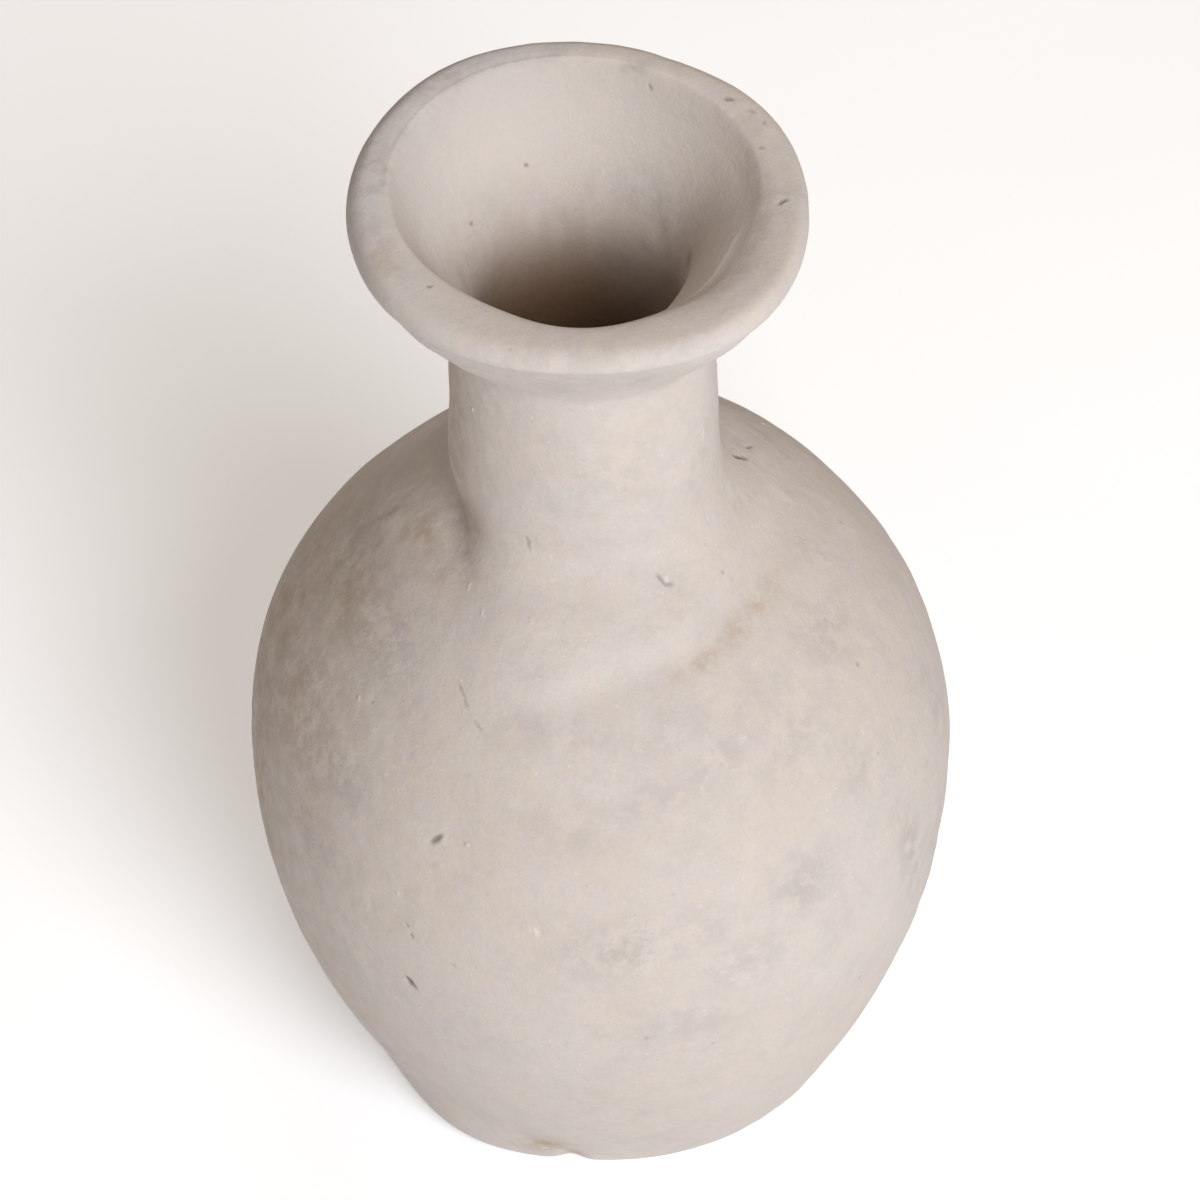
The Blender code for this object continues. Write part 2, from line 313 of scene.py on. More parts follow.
# Soft stains, and patches of painted shade and painted light: surface, angle, height (or radius on the lip),
# half-width, half-height (mm), lean (degrees), tone, amount.
STAINS_AND_PAINTED_LIGHT = [
    (OUT, -86, 80.5, 10, 6, 10, "grey", 0.95), (OUT, -73.5, 82.5, 7, 5, -10, "grey", 0.6),
    (OUT, -55, 84, 7, 6, 30, "grey", 0.95), (OUT, -66, 73, 9, 6, 15, "grey", 0.65),
    (OUT, -76, 61.5, 11, 7, 0, "grey", 0.5), (OUT, -97, 100, 11, 4, -12, "grey", 0.55),
    (OUT, -79, 104.5, 9, 4, 8, "grey", 0.5), (OUT, -63, 108, 8, 4, 20, "grey", 0.65),
    (OUT, -25, 112.5, 8, 5, -30, "grey", 0.8), (OUT, -35, 95, 7, 7, 40, "grey", 0.55),
    (OUT, -30, 72, 4, 12, 10, "grey", 0.9), (OUT, -9.5, 86, 4, 9, 0, "grey", 0.7),
    (OUT, -144, 94, 10, 6, 10, "grey", 0.9), (OUT, -147, 114, 9, 7, 0, "grey", 0.9),
    (OUT, -142, 79, 9, 6, 0, "grey", 0.5), (OUT, -166, 113, 11, 8, 20, "brown", 0.75),
    # painted shade: the 'dark' patches at -178, -158 and -170 degrees darken the left shoulder and body, which face
    # away from the key light
    (OUT, -160, 97, 14, 11, -15, "brown", 0.75), (OUT, -178, 112, 14, 12, 0, "dark", 0.28),
    (OUT, -158, 106, 13, 11, 0, "dark", 0.24), (OUT, -170, 86, 10, 16, 0, "dark", 0.2),
    # brown clay, and also painted shade on the side turned from the key light: the broad browns at 178, -174, -152
    # (height 40) and -167 degrees
    (OUT, -149, 84, 9, 8, 15, "brown", 0.5), (OUT, 178, 92, 20, 34, 0, "brown", 0.75),
    (OUT, -174, 60, 20, 26, 0, "brown", 0.75), (OUT, -152, 40, 14, 14, 0, "brown", 0.4),
    # a brown band beside the neck's left root and edge at -152 and -163 degrees, and also painted shade there
    (OUT, -152, 131, 5, 6, 0, "brown", 0.6), (OUT, -163, 148, 5, 18, 0, "brown", 0.8),
    # painted shade: the greys at -95, -74 and -52 degrees, height 113, darken the shoulder below the collar's groove
    (OUT, -95, 113, 14, 3.5, -8, "grey", 0.55), (OUT, -74, 112.5, 12, 3.5, 6, "grey", 0.5),
    # painted shadow under the front of the lip: the greys at -93 and -75 degrees, height 179, and on the lip at -92 and
    # -70 degrees
    (OUT, -52, 113, 9, 3.5, 14, "grey", 0.45), (OUT, -93, 179, 11, 5, 0, "grey", 0.7),
    (OUT, -75, 179, 9, 5, 0, "grey", 0.65), (LIP, -92, 34.8, 16, 3.5, 0, "grey", 0.5),
    # paler clay on the collar's shelf, and also a painted highlight along it: the pales at -96, -74 and -47 degrees
    (LIP, -70, 34.8, 10, 3, 0, "grey", 0.35), (OUT, -96, 124.5, 12, 4, 0, "pale", 0.5),
    (OUT, -74, 126.5, 12, 4, 8, "pale", 0.35), (OUT, -47, 128, 9, 4, 20, "pale", 0.25),
    # painted light: the pale at 135 degrees lifts the neck's shadow on the shoulder at the back left
    (OUT, 135, 112.5, 9, 6, 0, "pale", 0.8), (OUT, -162, 127.8, 4, 2.2, 0, "dark", 0.5),
    # painted shadow in the crease left of the neck: the 'dark' patches at -162 (line above), -148 and -138 degrees
    (OUT, -148, 126.8, 4, 2.2, 0, "dark", 0.5), (OUT, -138, 125.5, 3.5, 2.5, 0, "dark", 0.3),
    # a brown band along the crease at -165 and -150 degrees, and also painted shade in it
    (OUT, -165, 124.5, 7, 4, 0, "brown", 0.7), (OUT, -150, 124, 5, 4, 0, "brown", 0.5),
    (OUT, -78, 151, 15, 13, 0, "grey", 0.4), (OUT, -47, 106, 10, 7, 20, "grey", 0.6),
    (OUT, -167, 66, 12, 34, 0, "brown", 0.8), (OUT, -60, 118.6, 6, 1.8, 4, "brown", 0.7),
    (OUT, -40, 120.2, 9, 2.2, 6, "brown", 0.7), (OUT, -103, 9, 6, 4, 20, "brown", 1.0),
    (OUT, -98, 5, 2, 4, 0, "brown", 0.9), (IN, 9.3, 175.8, 2.0, 1.5, 30, "brown", 0.9),
    (IN, 60, 176, 7, 4, 10, "grey", 0.5), (OUT, -36, 147, 4, 9, 0, "grey", 0.55),
    (OUT, -29.3, 150.5, 0.35, 1.5, 0, "pale", 1.0), (OUT, -100.4, 83.2, 1.0, 0.8, 30, "pale", 0.9),
    (OUT, -134, 125.3, 0.8, 0.6, 0, "pale", 0.3), (OUT, -124.8, 124.4, 0.8, 0.6, 0, "pale", 0.3),
    (OUT, -59.9, 129.2, 0.8, 0.5, 0, "pale", 0.9), (LIP, 172, 29.6, 4, 0.7, 0, "dark", 0.65),
    (LIP, 158, 29.4, 4, 0.6, 0, "dark", 0.5), (LIP, 143, 29.3, 5, 0.7, 0, "dark", 0.6),
    (LIP, 127, 29.2, 5, 0.6, 0, "dark", 0.6), (LIP, 112, 29.3, 5, 0.6, 0, "dark", 0.55),
    # the greys on the lip's top at 135, 178, -160 and 100 degrees are the lip's grey clay, and also painted shade on
    # the upward-facing top
    (LIP, 99, 29.3, 3, 0.6, 0, "dark", 0.5), (LIP, 135, 32.3, 16, 3.2, 0, "grey", 0.85),
    (LIP, 178, 32.5, 14, 3.2, 0, "grey", 0.85), (LIP, -160, 32.5, 9, 3.0, 0, "grey", 0.7),
    (LIP, 100, 32.0, 12, 3.0, 0, "grey", 0.5), (LIP, -18, 29, 9, 2.5, 0, "grey", 0.45),
    (LIP, 8, 28.5, 8, 2.2, 0, "grey", 0.35), (LIP, -33, 28, 6, 2, 0, "grey", 0.4),
    (LIP, 72, 28.6, 3, 1.0, 15, "dark", 0.6), (LIP, 30, 31.5, 5, 2.0, 0, "grey", 0.5),
    (LIP, -4, 31.5, 3, 2.0, 20, "grey", 0.8), (LIP, 2, 33.4, 1.6, 2.2, 20, "dark", 0.5),
    (LIP, -152, 33.5, 4, 2.0, 0, "brown", 0.5), (LIP, 115, 32.3, 18, 4, 0, "cool", 0.9),
    (LIP, 150, 32.3, 18, 4, 0, "cool", 0.95), (LIP, -178, 32.5, 16, 4, 0, "cool", 0.95),
    (LIP, -148, 32.5, 12, 4, 0, "cool", 0.6),
]


def frame_at(kind, deg, z):
    th = np.array([math.radians(deg)])
    q = lip_u(deg, z) if kind == LIP else float(z)
    r, zz, nr, nz = surface(kind, np.array([q]), th)
    c, s = math.cos(th[0]), math.sin(th[0])
    p = np.array([r[0] * c, r[0] * s, zz[0]])
    n = np.array([nr[0] * c, nr[0] * s, nz[0]])
    side = np.array([-s, c, 0.0])
    return p, n, side, np.cross(n, side)


PIT_ENDS = [(frame_at(kind, *a)[0], frame_at(kind, *b)[0], width, deep) for kind, a, b, width, deep in PITS]


def pit_field(p):
    """(depth in mm, darkness 0 to 1) of the pits at points p."""
    depth, dark = np.zeros(len(p)), np.zeros(len(p))
    for pa, pb, width, deep in PIT_ENDS:
        mid, along = (pa + pb) / 2, pb - pa
        half = np.linalg.norm(along) / 2
        along = along / (2 * half)
        d = p - mid
        near = np.einsum("ij,ij->i", d, d) < (half + 4 * width) ** 2
        if not near.any():
            continue
        d = d[near]
        u = d @ along
        v = np.sqrt(np.clip(np.einsum("ij,ij->i", d, d) - u * u, 0, None))
        # the edge is ragged and the ends taper
        rag = 1.0 + 0.45 * noise(p[near], 0.55, 71)
        w = np.exp(-np.abs(u / (0.95 * half + 0.2)) ** 3) * np.exp(-((v / (0.95 * width * rag)) ** 2))
        depth[near] += 0.42 * deep * w
        dark[near] = np.maximum(dark[near], np.clip(1.25 * w, 0, 1) * min(1.0, max(0.0, 0.12 + 0.85 * deep)))
    return depth, dark


def displacement(p, th, kind):
    """How far the hand-worked surface stands out from the turned one, in mm."""
    d = 0.42 * noise(p, (42, 42, 36), 3) + 0.28 * noise(p, (19, 19, 15), 5)
    patch = 0.45 + 0.95 * smooth_step(-0.15, 0.5, noise(p, 17, 17))
    # the lip and the funnel were smoothed with a wet hand
    wet = smooth_step(172, 184, p[:, 2])
    d *= 1.0 - 0.35 * wet
    d += (1.0 - 0.6 * wet) * (0.12 * noise(p, 8.5, 7) + patch * (0.066 * noise(p, 3.6, 11) + 0.045 * noise(p, 1.8, 13)))
    # the base stands flat
    d *= smooth_step(0.0, 6.0, p[:, 2])
    # the shoulder stands higher at the back right than at the back left
    shoulder = smooth_step(98, 116, p[:, 2]) * smooth_step(136, 122, p[:, 2]) * (kind != IN)
    d += shoulder * (0.9 * round_bump(th, 32, 40) - 1.3 * round_bump(th, 148, 38))
    depth, _ = pit_field(p)
    return d - depth


def warp(p):
    """The lean of the vase and of its neck, the mouth's tilt and the ovality."""
    x, y, z = p.T
    k = 1.0 + OVAL * np.cos(2 * (np.arctan2(y, x) + math.pi / 4))
    return np.stack([
        x * k + LEAN * (z - BELLY_Z) + NECK_LEAN_X * smooth_step(100, 135, z),
        y * k,
        z + MOUTH_TILT * y * smooth_step(150, 176, z)], 1)


# ---- meshes ---------------------------------------------------------------------

def spaced(kind, q0, q1, step):
    """Parameters from q0 to q1, evenly spaced along the section."""
    q = np.linspace(q0, q1, 1500)
    r, z, _, _ = surface(kind, q, np.full(len(q), math.radians(-90)))
    s = np.concatenate([[0], np.cumsum(np.hypot(np.diff(r), np.diff(z)))])
    count = max(2, int(math.ceil(s[-1] / step)) + 1)
    return np.interp(np.linspace(0, s[-1], count), s, q)


def strip(kind, q0, q1, step):
    return [(kind, q, 0.0) for q in spaced(kind, q0, q1, step)]


def plain_point(kind, q):
    r, z, _, _ = surface(kind, np.array([float(q)]), np.array([math.radians(-90)]))
    return np.array([r[0], z[0]])


def seam_middle(a, b, shift):
    """A hidden row half way across a joint, standing off by shift so that two sections never share a face."""
    d = b - a
    n = np.array([-d[1], d[0]]) / np.hypot(*d)
    if n[1] < 0:
        n = -n
    m = (a + b) / 2 + shift * n
    return [(HIDDEN, m[0], m[1])]


def under_collar(z, extra):
    """A row of the collar's seat, at a depth below the worked surface all the way round."""
    t = min(max((z - COLLAR_Z[0]) / (COLLAR_Z[1] - COLLAR_Z[0]), 0), 1)
    return (UNDER, float(z), COLLAR_EDGE + COLLAR_SWELL * math.sin(math.pi * t) + extra)


def evaluate(rows, th, at):
    """World points, undisplaced points and kinds for parameters (angle, row)."""
    kinds = np.array([r[0] for r in rows])
    q1 = np.array([r[1] for r in rows], float)
    q2 = np.array([r[2] for r in rows], float)
    base = np.floor(at + 1e-4).astype(int)
    f = np.clip(at - base, 0, 1)
    f[f < 1e-3] = 0
    nxt = np.minimum(base + 1, len(rows) - 1)
    kind = kinds[base]
    a = q1[base] * (1 - f) + np.where(f > 0, q1[nxt], q1[base]) * f
    b = q2[base] * (1 - f) + np.where(f > 0, q2[nxt], q2[base]) * f
    rest = np.zeros((len(th), 3))
    normal = np.zeros((len(th), 3))
    for k in (OUT, IN, LIP):
        m = kind == k
        if m.any():
            r, z, nr, nz = surface(k, a[m], th[m])
            c, s = np.cos(th[m]), np.sin(th[m])
            rest[m] = np.stack([r * c, r * s, z], 1)
            normal[m] = np.stack([nr * c, nr * s, nz], 1)
    m = (kind == HIDDEN) | (kind == PRESSED)
    rest[m] = np.stack([a[m] * np.cos(th[m]), a[m] * np.sin(th[m]), b[m]], 1)
    m = kind == UNDER
    if m.any():
        r, z, nr, nz = surface(OUT, a[m], th[m])
        c, s = np.cos(th[m]), np.sin(th[m])
        rest[m] = np.stack([r * c, r * s, z], 1)
        normal[m] = np.stack([nr * c, nr * s, nz], 1)
    moved = rest.copy()
    # fingertips side by side along the coils inside
    f = kind == PRESSED
    push = 0.30 * np.cos(31 * th[f]) + 0.30 * noise(rest[f], 8.0, 91)
    moved[f, 0] += push * np.cos(th[f])
    moved[f, 1] += push * np.sin(th[f])
    v = (kind != HIDDEN) & (kind != PRESSED)
    moved[v] += normal[v] * displacement(rest[v], th[v], kind[v])[:, None]
    moved[m] -= normal[m] * b[m][:, None]
    return warp(moved), rest, kind


def section(name, node, rows, material, poles=False, refine=True, around=ROUND):
    """One clay section: rings of points through the rows, closed into a solid, finer where the pits are."""
    count = len(rows)
    th = math.pi / 2 + 2 * math.pi * np.arange(around) / around
    grid_th = np.tile(th, count)
    grid_at = np.repeat(np.arange(count, dtype=float), around)
    last = count - 1 if poles else count
    j, i = np.meshgrid(np.arange(last), np.arange(around), indexing="ij")
    i2, j2 = (i + 1) % around, (j + 1) % count
    quads = np.stack([j * around + i, j * around + i2, j2 * around + i2, j2 * around + i], -1).reshape(-1, 4)
    mesh = bpy.data.meshes.new(name)
    mesh.from_pydata(np.stack([grid_th, grid_at, np.zeros(len(grid_th))], 1).tolist(), [], quads.tolist())

    if refine:
        kinds = np.array([r[0] for r in rows])
        inside = (j < count - 1).reshape(-1) & (i < around - 1).reshape(-1)
        same = kinds[quads[:, 0] // around] == kinds[quads[:, 3] // around]
        ok = inside & same & (kinds[quads[:, 0] // around] < HIDDEN)
        _, rest, _ = evaluate(rows, grid_th, grid_at)
        mid = rest[quads].mean(axis=1)
        near = np.zeros(len(quads), bool)
        for pa, pb, width, deep in PIT_ENDS:
            reach = np.linalg.norm(pb - pa) / 2 + 3.2 * width + 0.4
            near |= np.linalg.norm(mid - (pa + pb) / 2, axis=1) < reach
        chosen = np.where(near & ok)[0]
        if len(chosen):
            bm = bmesh.new()
            bm.from_mesh(mesh)
            bm.faces.ensure_lookup_table()
            edges = {e for f in chosen for e in bm.faces[f].edges}
            bmesh.ops.subdivide_edges(bm, edges=list(edges), cuts=3, use_grid_fill=True)
            bm.to_mesh(mesh)
            bm.free()

    flat = np.empty(len(mesh.vertices) * 3)
    mesh.vertices.foreach_get("co", flat)
    flat = flat.reshape(-1, 3)
    world, rest, kind = evaluate(rows, flat[:, 0], flat[:, 1])
    if poles:
        # close both ends with a fan to a point on the axis
        bm = bmesh.new()
        bm.from_mesh(mesh)
        bm.verts.ensure_lookup_table()
        rings = {row: [bm.verts[row * around + k] for k in range(around)] for row in (0, count - 1)}
        ends = []
        for row, ring in rings.items():
            centre = bm.verts.new((0.0, float(row), 1.0))
            ends.append((rows[row][2] if rows[row][0] == HIDDEN else rest[row * around, 2]))
            for k in range(around):
                pair = (ring[k], ring[(k + 1) % around])
                bm.faces.new((centre, pair[1], pair[0]) if row == 0 else (centre, pair[0], pair[1]))
        bm.to_mesh(mesh)
        bm.free()
        world = np.vstack([world] + [[[0.0, 0.0, z]] for z in ends])
        rest = np.vstack([rest] + [[[0.0, 0.0, z]] for z in ends])
        kind = np.concatenate([kind, [HIDDEN, HIDDEN]])
    mesh.vertices.foreach_set("co", (world * MM).astype(np.float32).ravel())
    mesh.update()

    mesh.shade_smooth()
    bm = bmesh.new()
    bm.from_mesh(mesh)
    bmesh.ops.recalc_face_normals(bm, faces=bm.faces)
    # the joint faces are cut clean off the worked surface
    hidden = [any(kind[v.index] >= HIDDEN for v in f.verts) for f in bm.faces]
    for e in bm.edges:
        pair = e.link_faces
        if len(pair) == 2 and hidden[pair[0].index] != hidden[pair[1].index]:
            e.smooth = False
    bm.to_mesh(mesh)
    bm.free()
    paint(mesh, rest, kind)
    mesh.materials.append(material)
    obj = bpy.data.objects.new(name, mesh)
    bpy.context.scene.collection.objects.link(obj)
    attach(obj, "root")
    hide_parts(node)
    return obj


def paint(mesh, rest, kind):
    """Stores the marks, the painted shade and the painted light as values on the points, for the clay's finish to read.
    """
    _, dark = pit_field(rest)
    stain_and_painted_light_layers = {tone: np.zeros(len(rest)) for tone in ("grey", "cool", "brown", "pale", "dark")}
    for surf, deg, z, wide, high, lean, tone, amount in STAINS_AND_PAINTED_LIGHT:
        p, n, side, up = frame_at(surf, deg, z)
        d = rest - p
        u, v, w = d @ side, d @ up, d @ n
        c, s = math.cos(math.radians(lean)), math.sin(math.radians(lean))
        g = np.exp(-((u * c + v * s) / wide) ** 2 - ((v * c - u * s) / high) ** 2 - (w / max(6.0, 0.8 * max(wide, high))) ** 2)
        stain_and_painted_light_layers[tone] = np.maximum(stain_and_painted_light_layers[tone], amount * g)
    th, r = np.arctan2(rest[:, 1], rest[:, 0]), np.hypot(rest[:, 0], rest[:, 1])
    # painted shade: the throat is painted darker down the bore in streaks, from higher up at the left and less so at
    # the right
    start = 179 + 2.5 * round_bump(th, 155, 40) + 2.0 * noise(rest, (1.8, 1.8, 12.0), 131)
    deep = smooth_step(start, 154, rest[:, 2]) * (1.0 - 0.6 * round_bump(th, 42, 26))
    deep = np.where(kind == IN, deep, 0.0)
    # the funnel and the lip's inner edge are painted paler and less mottled than the outside, less so at the right
    edge = edge_r(th) + 0.5 * noise(rest, 6.0, 83)
    paler_funnel = smooth_step(172, 184, rest[:, 2]) * smooth_step(edge + 1.0, edge - 0.8, r) * (1 - 0.6 * right_roll(th))
    paler_funnel = np.where((kind == IN) | (kind == LIP), paler_funnel, 0.0)
    for name, values in {"pit": dark, "deep": deep, "paler_funnel": paler_funnel, **stain_and_painted_light_layers}.items():
        layer = mesh.attributes.new(name, "FLOAT", "POINT")
        layer.data.foreach_set("value", np.asarray(values, np.float32))


# ---- finish ---------------------------------------------------------------------

class Tree:
    """A short way to write a material's nodes."""

    def __init__(self, name):
        self.material = bpy.data.materials.new(name)
        self.material.use_nodes = True
        self.tree = self.material.node_tree
        self.shader = self.tree.nodes["Principled BSDF"]

    def node(self, kind, **values):
        node = self.tree.nodes.new(kind)
        for key, value in values.items():
            setattr(node, key, value)
        return node

    def link(self, source, target):
        self.tree.links.new(source, target)

    def attribute(self, name):
        return self.node("ShaderNodeAttribute", attribute_name=name).outputs["Fac"]

    def coords(self):
        return self.node("ShaderNodeTexCoord").outputs["Object"]

    def noise(self, vector, scale, detail=3.0, rough=0.55, distort=0.0):
        n = self.node("ShaderNodeTexNoise")
        n.inputs["Scale"].default_value = scale
        n.inputs["Detail"].default_value = detail
        n.inputs["Roughness"].default_value = rough
        n.inputs["Distortion"].default_value = distort
        self.link(vector, n.inputs["Vector"])
        return n.outputs["Fac"]

    def span(self, value, a, b, c=0.0, d=1.0):
        m = self.node("ShaderNodeMapRange", clamp=True, interpolation_type="SMOOTHSTEP")
        for socket, number in zip(("From Min", "From Max", "To Min", "To Max"), (a, b, c, d)):
            m.inputs[socket].default_value = number
        self.link(value, m.inputs["Value"])
        return m.outputs["Result"]

    def math(self, operation, a, b):
        m = self.node("ShaderNodeMath", operation=operation)
        for socket, x in zip(m.inputs, (a, b)):
            if isinstance(x, (int, float)):
                socket.default_value = x
            else:
                self.link(x, socket)
        return m.outputs["Value"]

    def mix(self, amount, a, b):
        m = self.node("ShaderNodeMix", data_type="RGBA")
        for socket, x in zip((m.inputs[0], m.inputs[6], m.inputs[7]), (amount, a, b)):
            if isinstance(x, (int, float)):
                socket.default_value = x
            elif isinstance(x, tuple):
                socket.default_value = (*x, 1.0)
            else:
                self.link(x, socket)
        return m.outputs[2]


def earthenware(name, base):
    t = Tree(name)
    p = t.coords()
    shade = lambda k, c=base: tuple(min(1.0, x * k) for x in c)
    warm = (base[0] * 0.985, base[1] * 0.955, base[2] * 0.915)
    grey = (base[0] * 0.785, base[1] * 0.775, base[2] * 0.79)
    brown = (base[0] * 0.71, base[1] * 0.605, base[2] * 0.485)

    # broad change of tone, then cloudy mottling in several sizes, then fine grain
    colour = t.mix(t.span(t.noise(p, 22, 4, 0.55), 0.35, 0.68), base, warm)
    cloud = t.span(t.noise(p, 58, 7, 0.68), 0.48, 0.68, 0.0, 0.36)
    colour = t.mix(cloud, colour, grey)
    lilac = t.span(t.noise(p, 105, 6, 0.68), 0.46, 0.64, 0.0, 0.60)
    colour = t.mix(lilac, colour, (base[0] * 0.972, base[1] * 0.968, base[2] * 1.012))
    light = t.span(t.noise(p, 78, 6, 0.66), 0.54, 0.72, 0.0, 0.55)
    colour = t.mix(light, colour, shade(1.06))
    blotch = t.span(t.noise(p, 165, 6, 0.7), 0.52, 0.70, 0.0, 0.44)
    colour = t.mix(blotch, colour, shade(0.87))
    fleck = t.span(t.noise(p, 430, 4, 0.68), 0.48, 0.70, 0.0, 0.42)
    colour = t.mix(fleck, colour, shade(0.88))
    peach = t.span(t.noise(p, 260, 5, 0.7), 0.48, 0.66, 0.0, 0.62)
    colour = t.mix(peach, colour, (base[0] * 1.03, base[1] * 0.985, base[2] * 0.93))
    grain = t.span(t.noise(p, 1500, 2, 0.6), 0.25, 0.75, 0.0, 1.0)
    colour = t.mix(t.math("MULTIPLY", grain, 0.22), colour, shade(0.80))
    speck = t.span(t.noise(p, 900, 1, 0.4), 0.73, 0.80, 0.0, 0.30)
    colour = t.mix(speck, colour, brown)
    chalk = t.span(t.noise(p, 1150, 1, 0.4), 0.70, 0.78, 0.0, 0.40)
    colour = t.mix(chalk, colour, shade(1.22))

    # the funnel painted paler and less mottled
    colour = t.mix(t.math("MULTIPLY", t.attribute("paler_funnel"), 0.62), colour, shade(1.12))
    # stains, painted shade and painted light, broken up
    patches = t.noise(p, 230, 8, 0.78)
    cool = (base[0] * 0.92, base[1] * 0.975, base[2] * 1.03)
    for mark, tone, low, high in (("cool", cool, 0.22, 0.48), ("grey", grey, 0.41, 0.58), ("brown", brown, 0.35, 0.63),
                                  ("pale", shade(1.2), 0.35, 0.64), ("dark", shade(0.60), 0.35, 0.64)):
        colour = t.mix(t.math("MULTIPLY", t.attribute(mark), t.span(patches, low, high)), colour, tone)
    # painted shade down the throat
    colour = t.mix(t.attribute("deep"), colour, (base[0] * 0.41, base[1] * 0.278, base[2] * 0.178))
    colour = t.mix(t.attribute("pit"), colour, (base[0] * 0.34, base[1] * 0.33, base[2] * 0.32))
    t.link(colour, t.shader.inputs["Base Color"])

    rough = t.span(t.noise(p, 240, 3, 0.6), 0.3, 0.7, 0.80, 0.96)
    t.link(rough, t.shader.inputs["Roughness"])
    t.shader.inputs["Specular IOR Level"].default_value = 0.22

    # fine tooth of the clay
    tooth = t.noise(p, 1900, 3, 0.65)
    rub = t.noise(p, 460, 5, 0.68)
    relief = t.math("ADD", t.math("MULTIPLY", tooth, 0.45), t.math("MULTIPLY", rub, 1.4))
    bump = t.node("ShaderNodeBump")
    bump.inputs["Strength"].default_value = 0.42
    bump.inputs["Distance"].default_value = 0.00028
    t.link(relief, bump.inputs["Height"])
    t.link(bump.outputs["Normal"], t.shader.inputs["Normal"])
    return t.material


# ---- assembly -------------------------------------------------------------------

CLAY = earthenware("earthenware", (0.553, 0.518, 0.497))
CLAY_IN = earthenware("earthenware_inside", (0.56, 0.49, 0.42))


def joint(seam, shift):
    return seam_middle(plain_point(OUT, seam[0]), plain_point(IN, seam[1]), shift)


def build_vase():
    foot = spaced(OUT, 0.02, BASE_SEAM[0], 0.4)
    r0 = float(plain_point(OUT, 0.02)[0])
    rows = [(HIDDEN, x, 0.0) for x in np.linspace(2.0, r0 - 0.25, 14)]
    rows += [(OUT, z, 0.0) for z in foot]
    rows += joint(BASE_SEAM, -0.12)
    rim = float(plain_point(IN, BASE_SEAM[1])[0])
    rows += [(HIDDEN, x, FLOOR) for x in np.linspace(rim - 0.3, 2.0, 14)]
    section("base_disc_clay", "base_disc", rows, CLAY, poles=True)

    rows = strip(OUT, *(BASE_SEAM[0], BELLY_SEAM[0]), FINE)
    rows += joint(BELLY_SEAM, -0.12)
    rows += strip(IN, BELLY_SEAM[1], BASE_SEAM[1], 2.6)
    rows += joint(BASE_SEAM, 0.12)
    section("lower_wall_clay", "lower_wall", rows, CLAY)

    rows = strip(OUT, BELLY_SEAM[0], COLLAR_Z[0], FINE)
    rows += [under_collar(z, CLEAR) for z in np.linspace(COLLAR_Z[0] + 0.1, NECK_SEAM[0] - 0.2, 5)]
    rows += strip(IN, NECK_SEAM[1], BELLY_SEAM[1], 2.6)
    rows += joint(BELLY_SEAM, 0.12)
    section("shoulder_wall_clay", "shoulder_wall", rows, CLAY)

    rows = strip(OUT, COLLAR_Z[0], COLLAR_Z[1], 0.5)
    rows += [under_collar(z, 0.0) for z in np.linspace(COLLAR_Z[1] - 0.1, COLLAR_Z[0] + 0.1, 9)]
    section("neck_collar_clay", "neck_collar", rows, CLAY)

    rows = [under_collar(z, CLEAR) for z in np.linspace(NECK_SEAM[0] + 0.2, COLLAR_Z[1] - 0.1, 5)]
    rows += strip(OUT, COLLAR_Z[1], FLARE_SEAM[0], 0.5)
    rows += joint(FLARE_SEAM, -0.12)
    rows += strip(IN, FLARE_SEAM[1], NECK_SEAM[1] + 0.3, 0.9)
    section("neck_tube_clay", "neck_tube", rows, CLAY)

    rows = strip(OUT, FLARE_SEAM[0], LIP_SEAM[0], 0.45)
    rows += joint(LIP_SEAM, -0.12)
    rows += strip(IN, LIP_SEAM[1], FLARE_SEAM[1], 0.45)
    rows += joint(FLARE_SEAM, 0.12)
    section("mouth_funnel_clay", "mouth_funnel", rows, CLAY)

    rows = strip(LIP, 0.0, 1.0, 0.40)
    rows += joint(LIP_SEAM, 0.12)
    section("lip_coil_clay", "lip_coil", rows, CLAY)

    # coils pressed over the seams inside
    z0 = FLOOR + CLEAR
    wall = lambda z: float(inner_r(np.array([z]), np.array([0.0]))[0]) - CLEAR
    rows = [(HIDDEN, x, z0) for x in np.linspace(wall(z0) - 6.5, wall(z0) - 0.4, 6)]
    rows += [(HIDDEN, wall(z), z) for z in np.linspace(z0 + 0.6, FLOOR + 7.0, 6)]
    for i in range(1, 8):
        a = math.pi / 2 * i / 8
        rows.append((PRESSED, wall(z0) - 6.5 * math.sin(a) + 2.6 * (1 - math.sin(a)), z0 + 6.6 * (1 - math.sin(a)) ** 1.2 + 0.15))
    section("base_seam_coil_clay", "base_seam_coil", rows, CLAY_IN, refine=False, around=256)

    mid, half = BELLY_SEAM[1] - 0.5, 7.0
    rows = [(HIDDEN, wall(z), z) for z in np.linspace(mid - half, mid + half, 9)]
    for i in range(1, 14):
        a = math.pi * i / 14
        z = mid + half * math.cos(a)
        rows.append((PRESSED, wall(z) - 3.1 * math.sin(a) ** 0.8, z))
    section("belly_seam_coil_clay", "belly_seam_coil", rows, CLAY_IN, refine=False, around=256)


build_vase()

# ---- floor, light and camera ------------------------------------------------------

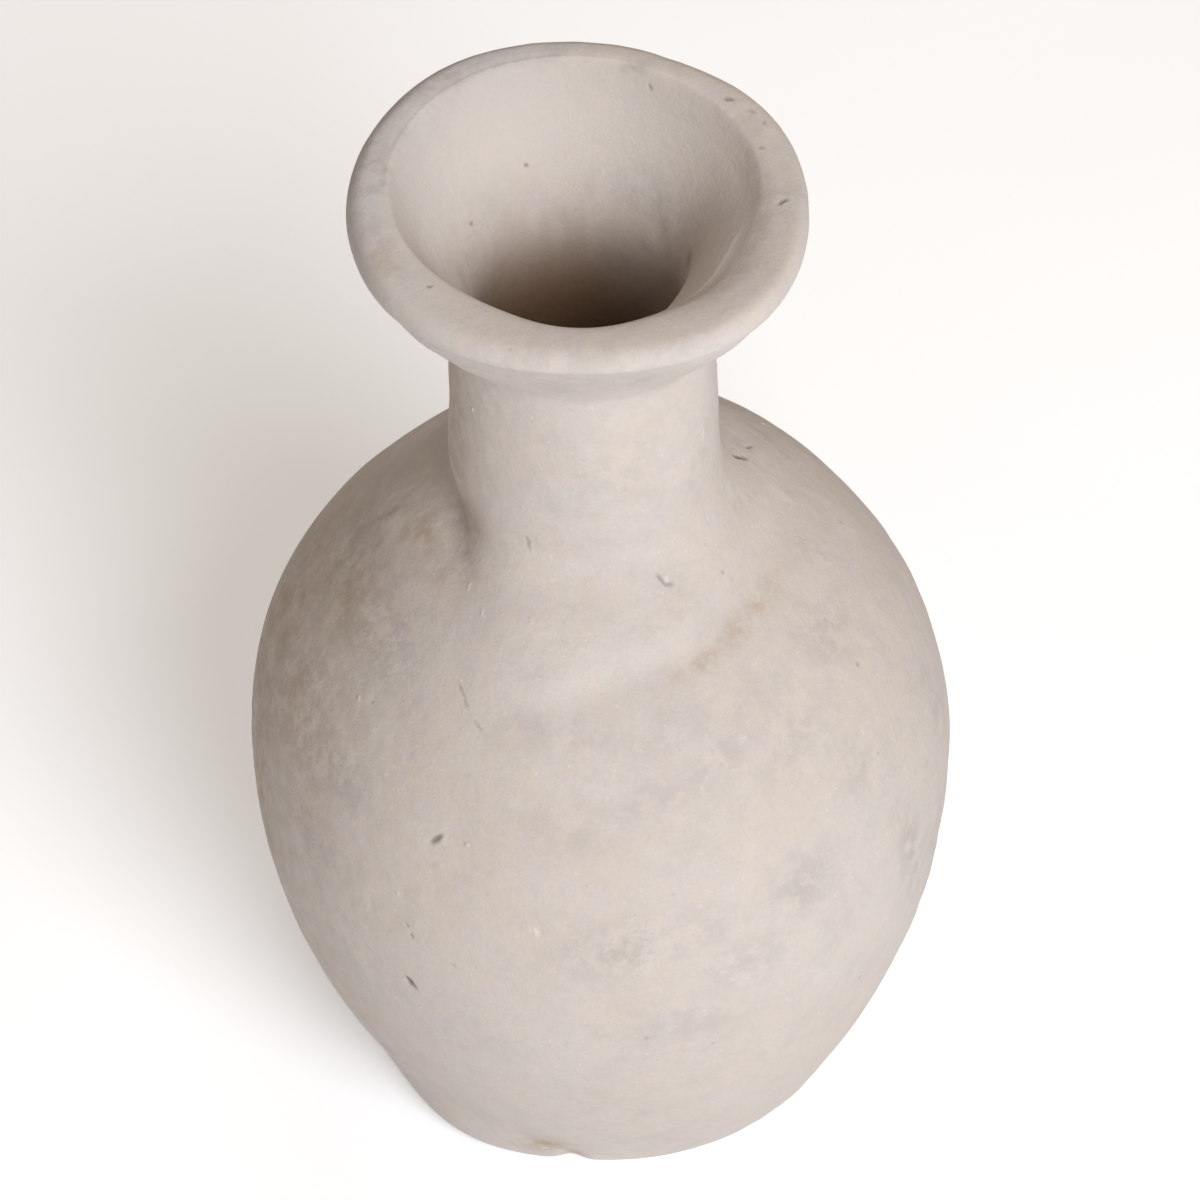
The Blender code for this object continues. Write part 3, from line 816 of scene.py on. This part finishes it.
def floor():
    mesh = bpy.data.meshes.new("floor")
    s = 6.0
    mesh.from_pydata([(-s, -s, -0.0004), (s, -s, -0.0004), (s, s, -0.0004), (-s, s, -0.0004)], [], [(0, 1, 2, 3)])
    obj = bpy.data.objects.new("floor", mesh)
    bpy.context.scene.collection.objects.link(obj)
    t = Tree("floor_paper")
    tone = t.span(t.noise(t.coords(), 9, 2, 0.5), 0.3, 0.7, 0.0, 1.0)
    t.link(t.mix(tone, (0.885, 0.92, 0.97), (0.865, 0.90, 0.95)), t.shader.inputs["Base Color"])
    t.shader.inputs["Roughness"].default_value = 0.9
    t.shader.inputs["Specular IOR Level"].default_value = 0.1
    t.shader.inputs["Emission Color"].default_value = (1, 1, 1, 1)
    t.shader.inputs["Emission Strength"].default_value = 0.27
    mesh.materials.append(t.material)


def area_light(name, place, target, size, power, colour):
    data = bpy.data.lights.new(name, "AREA")
    data.shape = "DISK"
    data.size = size
    data.energy = power
    data.color = colour
    obj = bpy.data.objects.new(name, data)
    bpy.context.scene.collection.objects.link(obj)
    obj.location = place
    obj.rotation_euler = (Vector(target) - Vector(place)).to_track_quat("-Z", "Y").to_euler()


floor()
area_light("key_softbox", (0.619, -1.297, 1.183), (0, 0, 0.1), 1.0, 30.1, (1.0, 1.0, 1.0))
area_light("top_softbox", (0.15, 0.75, 1.6), (0, 0, 0.15), 1.2, 4.2, (1.0, 0.95, 0.90))

world = bpy.data.worlds.new("studio")
bpy.context.scene.world = world
world.use_nodes = True
back = world.node_tree.nodes["Background"]
back.inputs["Color"].default_value = (1.0, 0.765, 0.55, 1.0)
back.inputs["Strength"].default_value = 0.258

# Camera: 47 degrees above level and seven body widths away, straight in front.
AIM = Vector((0.0, 0.0, 0.10068))
DISTANCE, TILT, FOCAL_PX = 0.84, math.radians(47.0), 5026.4
ahead = Vector((0.0, math.cos(TILT), -math.sin(TILT)))
right = Vector((1.0, 0.0, 0.0))
up = right.cross(ahead)
camera_data = bpy.data.cameras.new("camera")
camera_data.sensor_width = 36.0
camera_data.lens = FOCAL_PX / 1200.0 * 36.0
camera_data.clip_start = 0.01
camera = bpy.data.objects.new("camera", camera_data)
bpy.context.scene.collection.objects.link(camera)
place = Matrix((right, up, -ahead)).transposed().to_4x4()
place.translation = AIM - DISTANCE * ahead
camera.matrix_world = place
bpy.context.scene.camera = camera

bpy.context.scene.view_settings.view_transform = "Standard"
